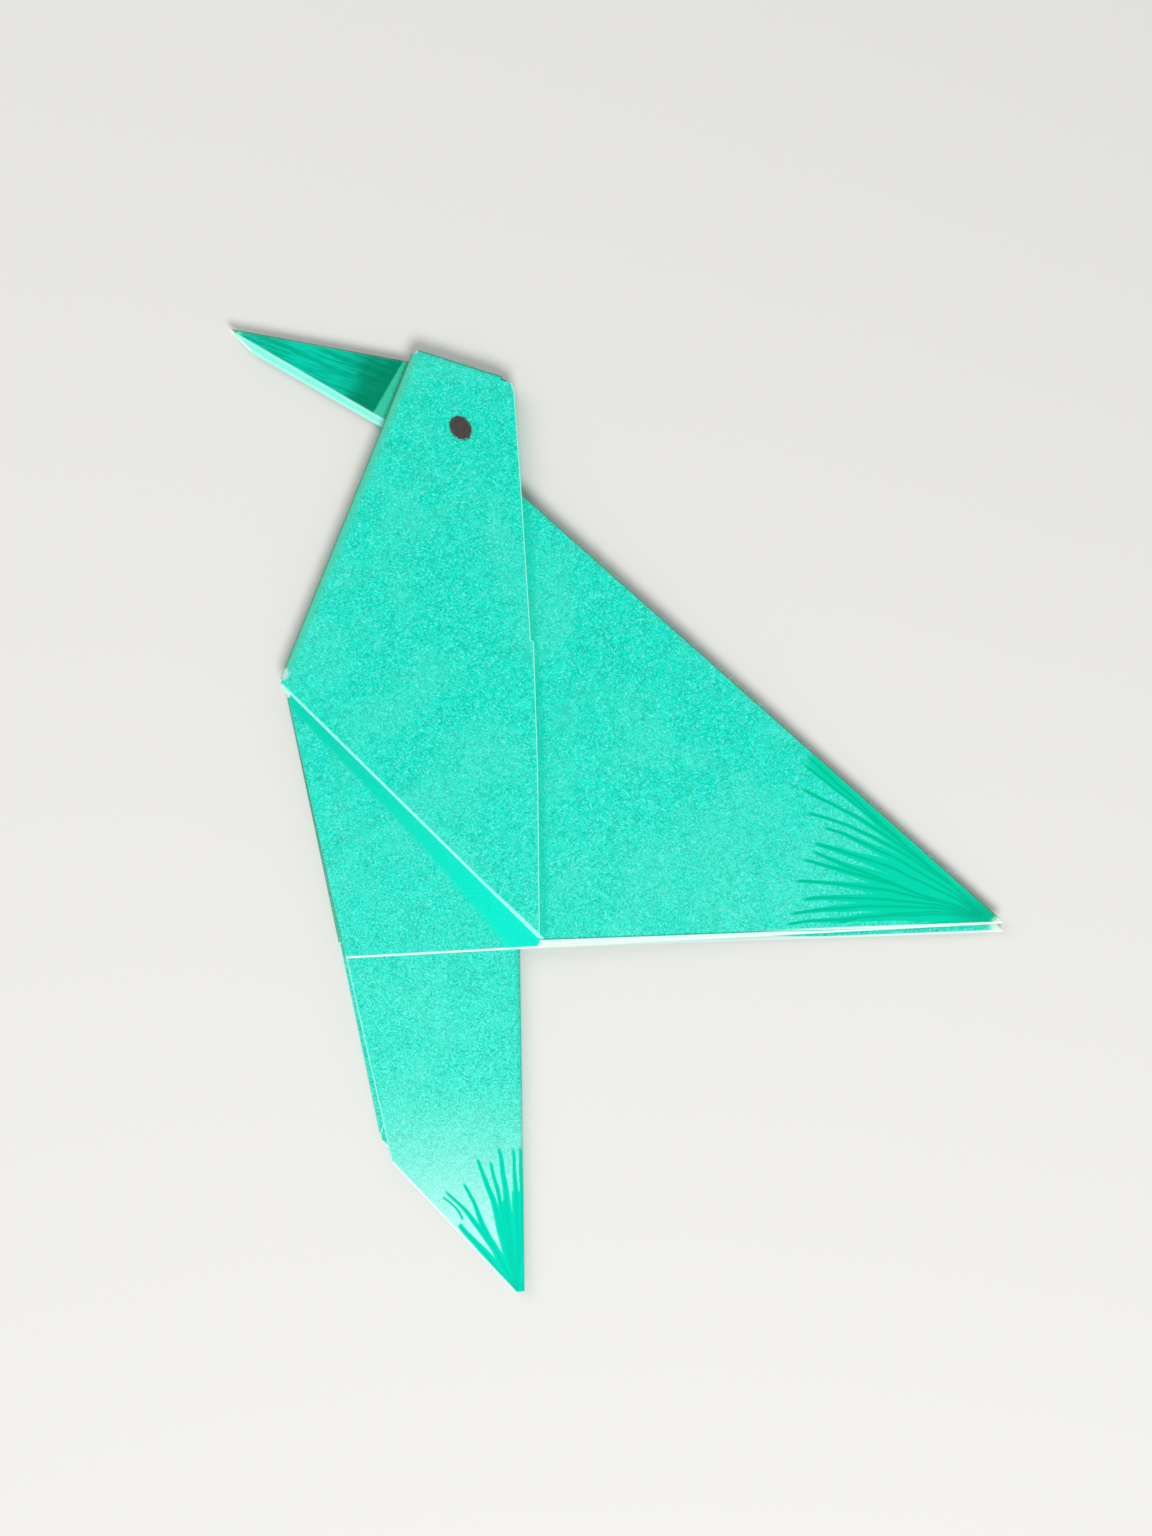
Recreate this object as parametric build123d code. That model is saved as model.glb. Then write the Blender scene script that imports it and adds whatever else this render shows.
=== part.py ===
from build123d import *
import os

os.makedirs("parts", exist_ok=True)

# A hummingbird folded from one square sheet, pressed flat and lying on its side.
# +X is the side that the wings point to, +Y runs from tail to head, +Z is up.
# Each half of the bird is a pile of flat panels, joined by round folds at their edges.

# The square sheet, and the air that its folded layers keep between them.
sheet_side = 210.0
paper = 0.13
layer_air = 0.05
# How far each fold stops short of the corner where it meets the next one.
corner_relief = 0.35

# Corners of the near half as it was folded, as shares of the sheet's side,
# measured from where the wing-to-wing fold crosses the spine.
head_left_shares = (-0.0835, 0.0326)
spine_top_shares = (-0.0080, 0.0088)
spine_shoulder_shares = (-0.0045, 0.0)
chest_corner_shares = (-0.1860, -0.2210)
belly_top_shares = (-0.1807, -0.2278)
pleat_foot_shares = (-0.0028, -0.2293)
neck_bow_shares = (0.0106, -0.2900)
neck_foot_shares = (0.0121, -0.4157)
wing_bow_shares = (0.0061, -0.4222)
wing_tip_shares = (0.3660, -0.4036)
tail_corner_shares = (-0.1017, -0.5843)
tail_tip_shares = (0.0005, -0.6925)
beak_tip_shares = (-0.2263, 0.0494)
beak_root_shares = (-0.0980, -0.0273)
beak_blunt_shares = (-0.2187, 0.0429)

# Corners that lie on another fold, as shares of the way along it.
wing_root_share = 0.111
head_inside_share = 0.93
neck_raw_share = 0.98
belly_raw_share = 0.567

# How far the far half slipped against the near half when the sheet was folded.
wing_slip = (0.2, -1.4)
neck_slip = (0.2, -0.7)
bow_slip = (0.0, -0.3)
belly_slip = (-0.3, 0.0)
tail_slip = (-1.8, 3.3)
beak_slip = (0.3, -1.2)
blunt_slip = (2.4, -2.6)

# Layers of one half, from the middle of the folded bird outwards.
LAYER_ORDER = (
    "beak_core", "beak_cover", "tip_cover", "tip_core", "neck_core", "pleat", "body",
    "wing_back", "wing_front", "neck_cover",
)
LAYERS = {name: number for number, name in enumerate(LAYER_ORDER, start=1)}
# The belly corners are tucked in below the pleat, at the height of its two layers.
LAYERS["belly_tuck"] = LAYERS["pleat"]
LAYERS["wing_tuck"] = LAYERS["neck_core"]


def height(layer):
    """Height of a layer's middle; layers of the far half count below zero."""
    side = 1 if layer > 0 else -1
    return side * (abs(layer) - 0.5) * (paper + layer_air)


def reach(layer_a, layer_b):
    """How far the fold between two layers stands out from its own centre line."""
    return (abs(height(layer_a) - height(layer_b)) + paper) / 2


def nested_reach(panel_a, panel_b):
    return reach(LAYERS[panel_a], LAYERS[panel_b])


# Set-back of each crease: nested folds share the centre line of the outermost one.
SET_BACKS = {
    "chest": nested_reach("neck_core", "neck_cover"),
    "spine": reach(LAYERS["body"], -LAYERS["body"]),
    "head": nested_reach("tip_cover", "neck_cover"),
    "beak_base": nested_reach("beak_core", "tip_core"),
    "belly": nested_reach("wing_tuck", "wing_back"),
    "wing": nested_reach("wing_back", "wing_front"),
    "shoulder": nested_reach("pleat", "body"),
    "breast": nested_reach("wing_front", "neck_cover"),
    "pleat": nested_reach("neck_core", "pleat"),
    "tuck": nested_reach("wing_tuck", "belly_tuck"),
    "throat": nested_reach("tip_cover", "tip_core"),
    "beak_under": nested_reach("beak_core", "beak_cover"),
    "beak_top": reach(LAYERS["beak_core"], -LAYERS["beak_core"]),
    "raw": 0,
}


def place(shares):
    """A corner's place from its shares of the sheet's side."""
    return Vector(shares[0] * sheet_side, shares[1] * sheet_side)


def along(start, end, share):
    return start + (end - start) * share


def meet(start_a, way_a, start_b, way_b):
    """The point where two straight lines cross."""
    gap = start_b - start_a
    cross = way_a.X * way_b.Y - way_a.Y * way_b.X
    return start_a + way_a * ((gap.X * way_b.Y - gap.Y * way_b.X) / cross)


def reflect(point, start, end):
    """Where a point lands when the paper is folded over on a crease."""
    way = (end - start).normalized()
    foot = start + way * (point - start).dot(way)
    return foot * 2 - point


def folded_corners(slipped):
    """Where the corners of one half come to lie; the far half lies slipped."""
    slip = 1 if slipped else 0
    spots = {
        "head_left": place(head_left_shares),
        "spine_top": place(spine_top_shares),
        "spine_shoulder": place(spine_shoulder_shares),
        "chest": place(chest_corner_shares),
        "pleat_foot": place(pleat_foot_shares),
        "neck_bow": place(neck_bow_shares),
        "neck_foot": place(neck_foot_shares) + Vector(*neck_slip) * slip,
        "wing_bow": place(wing_bow_shares) + Vector(*bow_slip) * slip,
        "wing_tip": place(wing_tip_shares) + Vector(*wing_slip) * slip,
        "belly_top": place(belly_top_shares) + Vector(*belly_slip) * slip,
        "tail_corner": place(tail_corner_shares) + Vector(*tail_slip) * slip,
        "tail_tip": place(tail_tip_shares),
        "beak_tip": place(beak_tip_shares),
        "beak_root": place(beak_root_shares) + Vector(*beak_slip) * slip,
        "beak_blunt": place(beak_blunt_shares) + Vector(*blunt_slip) * slip,
    }
    head_left, chest = spots["head_left"], spots["chest"]
    spots["wing_root"] = along(head_left, chest, wing_root_share)
    spots["head_inside"] = along(head_left, spots["spine_top"], head_inside_share)
    spots["neck_raw"] = along(head_left, spots["spine_top"], neck_raw_share)
    spots["belly_raw"] = along(spots["belly_top"], spots["tail_corner"], belly_raw_share)
    tail_way = spots["tail_corner"] - spots["tail_tip"]
    belly_corner = meet(head_left, chest - head_left, spots["tail_tip"], tail_way)
    spots["tucked_corner"] = reflect(belly_corner, spots["belly_top"], spots["tail_corner"])
    return spots


# Each panel: its corners in order, each with the crease that starts there and runs to
# the next corner. A raw edge of the sheet is "raw".
BEAK_TIP_OUTLINE = [
    ("head_left", "head"), ("head_inside", "beak_base"), ("beak_root", "throat"),
]
BEAK_OUTLINE = [
    ("beak_tip", "beak_top"), ("head_inside", "beak_base"), ("beak_root", "beak_under"),
    ("beak_blunt", "raw"),
]
PANELS = {
    "beak_core": BEAK_OUTLINE,
    "beak_cover": BEAK_OUTLINE,
    "tip_cover": BEAK_TIP_OUTLINE,
    "tip_core": BEAK_TIP_OUTLINE,
    "neck_core": [
        ("head_left", "head"), ("spine_top", "spine"), ("pleat_foot", "pleat"), ("chest", "chest"),
    ],
    "pleat": [
        ("wing_root", "shoulder"), ("spine_shoulder", "spine"), ("pleat_foot", "pleat"),
        ("chest", "chest"),
    ],
    "body": [
        ("wing_root", "shoulder"), ("spine_shoulder", "spine"), ("tail_tip", "raw"),
        ("tail_corner", "belly"), ("belly_top", "raw"), ("chest", "chest"),
    ],
    "wing_back": [
        ("wing_root", "wing"), ("wing_tip", "raw"), ("wing_bow", "raw"), ("belly_raw", "belly"),
        ("belly_top", "raw"), ("chest", "chest"),
    ],
    "wing_front": [
        ("wing_root", "wing"), ("wing_tip", "raw"), ("neck_foot", "breast"), ("chest", "chest"),
    ],
    "neck_cover": [
        ("head_left", "head"), ("neck_raw", "raw"), ("neck_bow", "raw"), ("neck_foot", "breast"),
        ("chest", "chest"),
    ],
    "belly_tuck": [
        ("belly_top", "tuck"), ("tucked_corner", "raw"), ("tail_corner", "belly"),
    ],
    "wing_tuck": [
        ("belly_top", "tuck"), ("tucked_corner", "raw"), ("belly_raw", "belly"),
    ],
}

# Folds within one half: the two panels and the crease between them.
FOLDS = [
    ("neck_core", "neck_cover", "chest"),
    ("pleat", "wing_front", "chest"),
    ("body", "wing_back", "chest"),
    ("wing_back", "wing_front", "wing"),
    ("pleat", "body", "shoulder"),
    ("wing_front", "neck_cover", "breast"),
    ("neck_core", "pleat", "pleat"),
    ("belly_tuck", "body", "belly"),
    ("wing_tuck", "wing_back", "belly"),
    ("wing_tuck", "belly_tuck", "tuck"),
    ("tip_core", "neck_core", "head"),
    ("tip_cover", "neck_cover", "head"),
    ("beak_cover", "tip_cover", "beak_base"),
    ("beak_core", "tip_core", "beak_base"),
    ("tip_cover", "tip_core", "throat"),
    ("beak_core", "beak_cover", "beak_under"),
]

# Folds that join the two halves, along the spine and along the top of the beak.
MIDDLE_FOLDS = [
    ("neck_core", "spine"),
    ("pleat", "spine"),
    ("body", "spine"),
    ("beak_core", "beak_top"),
]


class Panel:
    """One flat panel, with its folded edges set back to leave room for the folds."""

    def __init__(self, name, spots, side):
        outline = PANELS[name]
        self.layer = LAYERS[name] * side
        self.creases = [crease for corner, crease in outline]
        ends = [spots[corner] for corner, crease in outline]
        sides = list(zip(ends, ends[1:] + ends[:1]))
        twice_area = sum(a.X * b.Y - a.Y * b.X for a, b in sides)
        turn = 1 if twice_area > 0 else -1
        ways = [(b - a).normalized() for a, b in sides]
        self.outward = [Vector(way.Y, -way.X) * turn for way in ways]
        starts = [
            end - out * SET_BACKS[crease]
            for end, out, crease in zip(ends, self.outward, self.creases)
        ]
        self.points = [
            meet(starts[i - 1], ways[i - 1], starts[i], ways[i]) for i in range(len(starts))
        ]

    def edge(self, crease):
        """The two ends of a folded edge, and the way that points out of the panel there."""
        spot = self.creases.index(crease)
        following = (spot + 1) % len(self.points)
        return self.points[spot], self.points[following], self.outward[spot]

    def solid(self):
        face = make_face(Polyline(*[(p.X, p.Y) for p in self.points], close=True))
        return extrude(Pos(0, 0, height(self.layer)) * face, paper / 2, both=True)


def fold(panel_a, panel_b, crease):
    """The half-round fold that carries the paper from one layer to another."""
    start, end, outward = panel_a.edge(crease)
    way = (end - start).normalized()
    others = [(point - start).dot(way) for point in panel_b.edge(crease)[:2]]
    first = max(0, min(others)) + corner_relief
    last = min((end - start).length, max(others)) - corner_relief
    middle = (height(panel_a.layer) + height(panel_b.layer)) / 2
    outer = reach(panel_a.layer, panel_b.layer)
    ring = Circle(outer) - Circle(outer - paper)
    half = ring & Rectangle(outer, 2 * outer, align=(Align.MIN, Align.CENTER))
    centre = start + way * first + Vector(0, 0, middle)
    return extrude(Plane(centre, x_dir=outward, z_dir=way) * half, last - first)


def half_bird(side):
    """All panels of one half, by name; the far half lies below and slipped."""
    spots = folded_corners(slipped=side < 0)
    return {name: Panel(name, spots, side) for name in PANELS}


def folded_sheet():
    """The whole sheet as one solid, standing on the middle of its underside."""
    near, far = half_bird(1), half_bird(-1)
    pieces = []
    for half in (near, far):
        pieces += [panel.solid() for panel in half.values()]
        pieces += [fold(half[a], half[b], crease) for a, b, crease in FOLDS]
    pieces += [fold(near[name], far[name], crease) for name, crease in MIDDLE_FOLDS]
    sheet = pieces[0].fuse(*pieces[1:]).clean()
    box = sheet.bounding_box()
    centre = box.center()
    return Pos(-centre.X, -centre.Y, -box.min.Z) * sheet


export_step(folded_sheet(), "parts/folded_sheet.step")
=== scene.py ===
import math
import random
from collections import namedtuple

import bmesh
import bpy
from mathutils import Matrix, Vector, geometry


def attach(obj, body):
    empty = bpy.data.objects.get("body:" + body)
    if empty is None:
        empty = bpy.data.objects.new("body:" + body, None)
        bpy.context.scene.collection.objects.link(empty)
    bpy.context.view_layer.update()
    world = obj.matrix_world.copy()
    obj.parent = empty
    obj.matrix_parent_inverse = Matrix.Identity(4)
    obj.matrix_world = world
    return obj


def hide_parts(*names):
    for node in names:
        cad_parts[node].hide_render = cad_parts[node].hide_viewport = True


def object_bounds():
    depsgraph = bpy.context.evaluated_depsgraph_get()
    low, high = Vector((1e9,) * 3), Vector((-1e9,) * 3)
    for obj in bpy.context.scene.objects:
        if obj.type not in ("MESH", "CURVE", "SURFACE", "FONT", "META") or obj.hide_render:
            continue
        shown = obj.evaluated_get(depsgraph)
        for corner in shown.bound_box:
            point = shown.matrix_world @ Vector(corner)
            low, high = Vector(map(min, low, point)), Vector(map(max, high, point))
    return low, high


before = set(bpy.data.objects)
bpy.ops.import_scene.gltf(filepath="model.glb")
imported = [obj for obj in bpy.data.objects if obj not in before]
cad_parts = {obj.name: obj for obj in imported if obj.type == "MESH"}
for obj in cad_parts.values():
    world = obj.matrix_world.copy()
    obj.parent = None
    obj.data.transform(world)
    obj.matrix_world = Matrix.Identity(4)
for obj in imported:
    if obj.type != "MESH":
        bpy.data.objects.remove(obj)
CAD_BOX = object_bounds()

MM = 0.001

# The sheet and its folded layers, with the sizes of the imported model.
SHEET_SIDE = 210.0 * MM
PAPER = 0.13 * MM
LAYER_AIR = 0.05 * MM
PITCH = PAPER + LAYER_AIR
# How far each fold stops short of its corners: the folds of the head reach closer.
CORNER_RELIEF = 0.35 * MM
HEAD_RELIEF = 0.12 * MM

# One pixel of the photograph on the bird, and the pixel that lies at the sheet's own
# origin, where the wing-to-wing fold crosses the spine.
PIXEL = SHEET_SIDE / 1317
ORIGIN_PIXEL = (524, 392)

# Corners of the near half as shares of the sheet's side, measured from its origin.
# The neck's raw edge has a worn corner, a slight bend, a small step and a bow.
CORNER_SHARES = {
    "head_left": (-0.0835, 0.0326),
    "spine_top": (-0.0080, 0.0088),
    "spine_shoulder": (-0.0090, 0.0),
    "chest": (-0.1860, -0.2210),
    "belly_top": (-0.1807, -0.2278),
    "pleat_foot": (-0.0028, -0.2293),
    "neck_corner": (-0.0072, -0.0008),
    "neck_collar": (-0.0017, -0.0781),
    "neck_step": (0.0053, -0.1883),
    "neck_notch": (0.0076, -0.1902),
    "neck_bow": (0.0108, -0.2900),
    "neck_foot": (0.0121, -0.4157),
    "wing_bow": (0.0061, -0.4222),
    "wing_tip": (0.3660, -0.4036),
    "tail_corner": (-0.1017, -0.5843),
    "tail_tip": (0.0005, -0.6925),
    "beak_tip": (-0.2263, 0.0494),
    "beak_root": (-0.0980, -0.0273),
    "beak_blunt": (-0.2187, 0.0429),
}
# How far corners of the far half slipped against the near half.
SLIPS = {
    "wing_tip": (0.2 * MM, -1.4 * MM),
    "neck_foot": (0.2 * MM, -0.7 * MM),
    "wing_bow": (0.0, -0.3 * MM),
    "belly_top": (-0.3 * MM, 0.0),
    "tail_corner": (-1.8 * MM, 3.3 * MM),
    "beak_root": (0.3 * MM, -1.2 * MM),
    "beak_blunt": (2.4 * MM, -2.6 * MM),
}
# Corners that lie on another fold, as shares of the way along it.
WING_ROOT_SHARE = 0.111
HEAD_INSIDE_SHARE = 0.975
NECK_RAW_SHARE = 0.965
BELLY_RAW_SHARE = 0.567

# Layers of one half, from the middle of the folded bird outwards. The belly corners
# are tucked in at the height of the pleat's two layers.
LAYER_ORDER = (
    "beak_core", "beak_cover", "tip_cover", "tip_core", "neck_core", "pleat", "body",
    "wing_back", "wing_front", "neck_cover",
)
LAYERS = {name: number for number, name in enumerate(LAYER_ORDER, start=1)}
LAYERS["belly_tuck"] = LAYERS["pleat"]
LAYERS["wing_tuck"] = LAYERS["neck_core"]

# Each panel: its corners in order, each with the crease that starts there and runs to
# the next corner. A raw edge of the sheet is "raw".
TIP_OUTLINE = [
    ("head_left", "head"), ("head_inside", "beak_base"), ("beak_root", "throat"),
]
BEAK_OUTLINE = [
    ("beak_tip", "beak_top"), ("head_inside", "beak_base"), ("beak_root", "beak_under"),
    ("beak_blunt", "raw"),
]
PANELS = {
    "beak_core": BEAK_OUTLINE,
    "beak_cover": BEAK_OUTLINE,
    "tip_cover": TIP_OUTLINE,
    "tip_core": TIP_OUTLINE,
    "neck_core": [
        ("head_left", "head"), ("spine_top", "spine"), ("pleat_foot", "pleat"), ("chest", "chest"),
    ],
    "pleat": [
        ("wing_root", "shoulder"), ("spine_shoulder", "spine"), ("pleat_foot", "pleat"),
        ("chest", "chest"),
    ],
    "body": [
        ("wing_root", "shoulder"), ("spine_shoulder", "spine"), ("tail_tip", "raw"),
        ("tail_corner", "belly"), ("belly_top", "raw"), ("chest", "chest"),
    ],
    "wing_back": [
        ("wing_root", "wing"), ("wing_tip", "raw"), ("wing_bow", "raw"), ("belly_raw", "belly"),
        ("belly_top", "raw"), ("chest", "chest"),
    ],
    "wing_front": [
        ("wing_root", "wing"), ("wing_tip", "raw"), ("neck_foot", "breast"), ("chest", "chest"),
    ],
    "neck_cover": [
        ("head_left", "head"), ("neck_raw", "raw"), ("neck_corner", "raw"),
        ("neck_collar", "raw"), ("neck_step", "raw"), ("neck_notch", "raw"),
        ("neck_bow", "raw"), ("neck_foot", "breast"), ("chest", "chest"),
    ],
    "belly_tuck": [
        ("belly_top", "tuck"), ("tucked_corner", "raw"), ("tail_corner", "belly"),
    ],
    "wing_tuck": [
        ("belly_top", "tuck"), ("tucked_corner", "raw"), ("belly_raw", "belly"),
    ],
}
# Folds within one half, and those that join the two halves.
FOLDS = [
    ("neck_core", "neck_cover", "chest"),
    ("pleat", "wing_front", "chest"),
    ("body", "wing_back", "chest"),
    ("wing_back", "wing_front", "wing"),
    ("pleat", "body", "shoulder"),
    ("wing_front", "neck_cover", "breast"),
    ("neck_core", "pleat", "pleat"),
    ("belly_tuck", "body", "belly"),
    ("wing_tuck", "wing_back", "belly"),
    ("wing_tuck", "belly_tuck", "tuck"),
    ("tip_core", "neck_core", "head"),
    ("tip_cover", "neck_cover", "head"),
    ("beak_cover", "tip_cover", "beak_base"),
    ("beak_core", "tip_core", "beak_base"),
    ("tip_cover", "tip_core", "throat"),
    ("beak_core", "beak_cover", "beak_under"),
]
MIDDLE_FOLDS = [
    ("neck_core", "spine"),
    ("pleat", "spine"),
    ("body", "spine"),
    ("beak_core", "beak_top"),
]

# How fine the sheet's mesh is: along the edges, inside shown and hidden panels and
# the narrow beak, and the steps round a fold.
EDGE_STEP = 1.6 * MM
SHOWN_CELL = 1.9 * MM
HIDDEN_CELL = 5.0 * MM
BEAK_CELL = 0.55 * MM
FOLD_STEPS = 10
SHOWN_PANELS = ("neck_cover", "wing_front", "wing_back", "body", "beak_cover", "beak_core")
SHARP_EDGE = math.radians(40)
WELD = 0.001 * MM
# Settings of the flat triangulation: faces inside the outline only, and its precision.
INSIDE_ONLY = 1
PRECISION = 1e-9
# Loose fibres stand on the worn folds: the fold's two panels and crease, the stretch
# of the crease that they stand on, and how many there are.
FUZZY_FOLDS = [
    ("wing_front", "wing_back", "wing", 0.28, 0.92, 110),
    ("neck_cover", "tip_cover", "head", 0.05, 0.85, 22),
    ("neck_cover", "neck_core", "chest", 0.08, 0.95, 34),
]
# A fibre's thickness, length and taper, and how far it leans, curls, climbs and sits
# round the fold at most. Angles are in radians.
FIBRE_RADIUS = 0.028 * MM
FIBRE_SHORTEST = 0.25 * MM
FIBRE_EXTRA = 1.10 * MM
FIBRE_STEPS = 4
FIBRE_TAPER = 0.6
FIBRE_LEAN = 1.1
FIBRE_CURL = 0.45
FIBRE_CLIMB = 0.02 * MM
FIBRE_TURN = 0.7
FIBRE_SEED = 7
# Edge distances are kept up to this far, and count as far inside beyond it.
EDGE_REACH = 6.0 * MM


def smooth_ramp(value, start, end):
    """Rises from 0 at start to 1 at end, without corners."""
    share = min(1.0, max(0.0, (value - start) / (end - start)))
    return share * share * (3 - 2 * share)


def height(layer):
    """Height of a layer's middle; layers of the far half count below zero."""
    side = 1 if layer > 0 else -1
    return side * (abs(layer) - 0.5) * PITCH


def reach(layer_a, layer_b):
    """How far the fold between two layers stands out from its own centre line."""
    return (abs(height(layer_a) - height(layer_b)) + PAPER) / 2


def nested_reach(panel_a, panel_b):
    """The same for two panels of one half."""
    return reach(LAYERS[panel_a], LAYERS[panel_b])


# Set-back of each crease: nested folds share the centre line of the outermost one.
SET_BACKS = {
    "chest": nested_reach("neck_core", "neck_cover"),
    "spine": reach(LAYERS["body"], -LAYERS["body"]),
    "head": nested_reach("tip_cover", "neck_cover"),
    "beak_base": nested_reach("beak_core", "tip_core"),
    "belly": nested_reach("wing_tuck", "wing_back"),
    "wing": nested_reach("wing_back", "wing_front"),
    "shoulder": nested_reach("pleat", "body"),
    "breast": nested_reach("wing_front", "neck_cover"),
    "pleat": nested_reach("neck_core", "pleat"),
    "tuck": nested_reach("wing_tuck", "belly_tuck"),
    "throat": nested_reach("tip_cover", "tip_core"),
    "beak_under": nested_reach("beak_core", "beak_cover"),
    "beak_top": reach(LAYERS["beak_core"], -LAYERS["beak_core"]),
    "raw": 0.0,
}


def meet(start_a, way_a, start_b, way_b):
    """The point where two straight lines cross."""
    gap = start_b - start_a
    cross = way_a.x * way_b.y - way_a.y * way_b.x
    return start_a + way_a * ((gap.x * way_b.y - gap.y * way_b.x) / cross)


def reflect(point, start, end):
    """Where a point lands when the paper is folded over on a crease."""
    way = (end - start).normalized()
    foot = start + way * (point - start).dot(way)
    return foot * 2 - point


def folded_corners(slipped):
    """Where the corners of one half come to lie; the far half lies slipped."""
    spots = {}
    for name, shares in CORNER_SHARES.items():
        slip = SLIPS.get(name, (0, 0)) if slipped else (0, 0)
        spots[name] = Vector(shares) * SHEET_SIDE + Vector(slip)
    head_left, chest = spots["head_left"], spots["chest"]
    spots["wing_root"] = head_left.lerp(chest, WING_ROOT_SHARE)
    spots["head_inside"] = head_left.lerp(spots["spine_top"], HEAD_INSIDE_SHARE)
    spots["neck_raw"] = head_left.lerp(spots["spine_top"], NECK_RAW_SHARE)
    belly_top, tail_corner = spots["belly_top"], spots["tail_corner"]
    spots["belly_raw"] = belly_top.lerp(tail_corner, BELLY_RAW_SHARE)
    tail_way = tail_corner - spots["tail_tip"]
    belly_corner = meet(head_left, chest - head_left, spots["tail_tip"], tail_way)
    spots["tucked_corner"] = reflect(belly_corner, belly_top, tail_corner)
    return spots


# The pressed bird's layers are closer where fewer of them lie on each other.
WING_PRESS_START = 3.0 * MM
WING_PRESS_END = 70.0 * MM
WING_PRESS = 0.72
TAIL_PRESS_START = -90.0 * MM
TAIL_PRESS_END = -138.0 * MM
TAIL_PRESS = 0.80


def room_below(name):
    """How far a panel's layer lies from the innermost layer."""
    return abs(height(LAYERS[name])) - abs(height(1))


def pressed_height(name, side, spot):
    """Height of a panel's middle at a spot, with the wing and tail pressed together."""
    level = abs(height(LAYERS[name]))
    if name in ("wing_front", "wing_back"):
        share = WING_PRESS * smooth_ramp(spot.x, WING_PRESS_START, WING_PRESS_END)
        level -= room_below("wing_back") * share
    if name in ("body", "belly_tuck"):
        share = TAIL_PRESS * smooth_ramp(spot.y, TAIL_PRESS_START, TAIL_PRESS_END)
        level -= room_below("body") * share
    return side * level


class Panel:
    """One flat panel of the folded sheet, with its folded edges set back."""

    def __init__(self, name, spots, side):
        outline = PANELS[name]
        self.name = name
        self.side = side
        self.layer = LAYERS[name] * side
        self.creases = [crease for corner, crease in outline]
        ends = [spots[corner] for corner, crease in outline]
        sides = list(zip(ends, ends[1:] + ends[:1]))
        twice_area = sum(a.x * b.y - a.y * b.x for a, b in sides)
        turn = 1 if twice_area > 0 else -1
        ways = [(b - a).normalized() for a, b in sides]
        self.outward = [Vector((way.y, -way.x)) * turn for way in ways]
        starts = [
            end - out * SET_BACKS[crease]
            for end, out, crease in zip(ends, self.outward, self.creases)
        ]
        self.points = [
            meet(starts[i - 1], ways[i - 1], starts[i], ways[i]) for i in range(len(starts))
        ]
        self.fold_spots = {}

    def edge(self, crease):
        """The two ends of a folded edge, and the way that points out of the panel there."""
        spot = self.creases.index(crease)
        following = (spot + 1) % len(self.points)
        return self.points[spot], self.points[following], self.outward[spot]

    def rim(self):
        """Points round the panel, each with whether the stretch after it is a fold."""
        rim = []
        for number, crease in enumerate(self.creases):
            start = self.points[number]
            end = self.points[(number + 1) % len(self.points)]
            way = (end - start).normalized()
            rim.append((start, False))
            if crease in self.fold_spots:
                spots = sorted(self.fold_spots[crease], key=lambda p: (p - start).dot(way))
                rim += [(p, True) for p in spots[:-1]] + [(spots[-1], False)]
            else:
                steps = max(1, round((end - start).length / EDGE_STEP))
                rim += [(start.lerp(end, i / steps), False) for i in range(1, steps)]
        return rim

    def nearest_edge(self, spot, kind):
        """Distance to the nearest raw or folded edge as creased, and how far it faces
        the light, which comes from the tail side."""
        nearest, facing = EDGE_REACH, 0.0
        for number, crease in enumerate(self.creases):
            if (crease == "raw") != (kind == "raw"):
                continue
            start = self.points[number]
            end = self.points[(number + 1) % len(self.points)]
            along = end - start
            share = min(1.0, max(0.0, (spot - start).dot(along) / along.length_squared))
            distance = (spot - start - along * share).length + SET_BACKS[crease]
            if distance < nearest:
                nearest, facing = distance, -self.outward[number].y
        return nearest, facing

    def inside_points(self, rim):
        """Points on a grid of triangles inside the panel, clear of its rim."""
        if self.name == "beak_cover":
            cell = BEAK_CELL
        else:
            cell = SHOWN_CELL if self.name in SHOWN_PANELS else HIDDEN_CELL
        xs = [p.x for p, fold in rim]
        ys = [p.y for p, fold in rim]
        found = []
        row_height = cell * math.sqrt(3) / 2
        for row in range(int((max(ys) - min(ys)) / row_height) + 1):
            y = min(ys) + row * row_height
            for column in range(int((max(xs) - min(xs)) / cell) + 2):
                spot = Vector((min(xs) + (column + row % 2 / 2) * cell, y))
                if self.holds(spot) and self.rim_distance(spot) > cell / 2:
                    found.append(spot)
        return found

    def holds(self, spot):
        """Whether a spot lies inside the panel."""
        inside = False
        for a, b in zip(self.points, self.points[1:] + self.points[:1]):
            if (a.y > spot.y) != (b.y > spot.y):
                if spot.x < a.x + (spot.y - a.y) / (b.y - a.y) * (b.x - a.x):
                    inside = not inside
        return inside

    def rim_distance(self, spot):
        """Distance from a spot to the panel's rim."""
        distances = []
        for a, b in zip(self.points, self.points[1:] + self.points[:1]):
            share = min(1.0, max(0.0, (spot - a).dot(b - a) / (b - a).length_squared))
            distances.append((spot - a.lerp(b, share)).length)
        return min(distances)


Ring = namedtuple("Ring", "panel_a panel_b spots outward set_back")


def find_ring(panel_a, panel_b, crease):
    """The fold between two panels: the spots along its centre line, kept in both rims."""
    start, end, outward = panel_a.edge(crease)
    way = (end - start).normalized()
    others = [(point - start).dot(way) for point in panel_b.edge(crease)[:2]]
    relief = HEAD_RELIEF if crease == "head" else CORNER_RELIEF
    first = max(0.0, min(others)) + relief
    last = min((end - start).length, max(others)) - relief
    steps = max(2, round((last - first) / EDGE_STEP))
    spots = [start + way * (first + (last - first) * i / steps) for i in range(steps + 1)]
    panel_a.fold_spots[crease] = spots
    panel_b.fold_spots[crease] = spots
    return Ring(panel_a, panel_b, spots, outward, SET_BACKS[crease])


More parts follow.
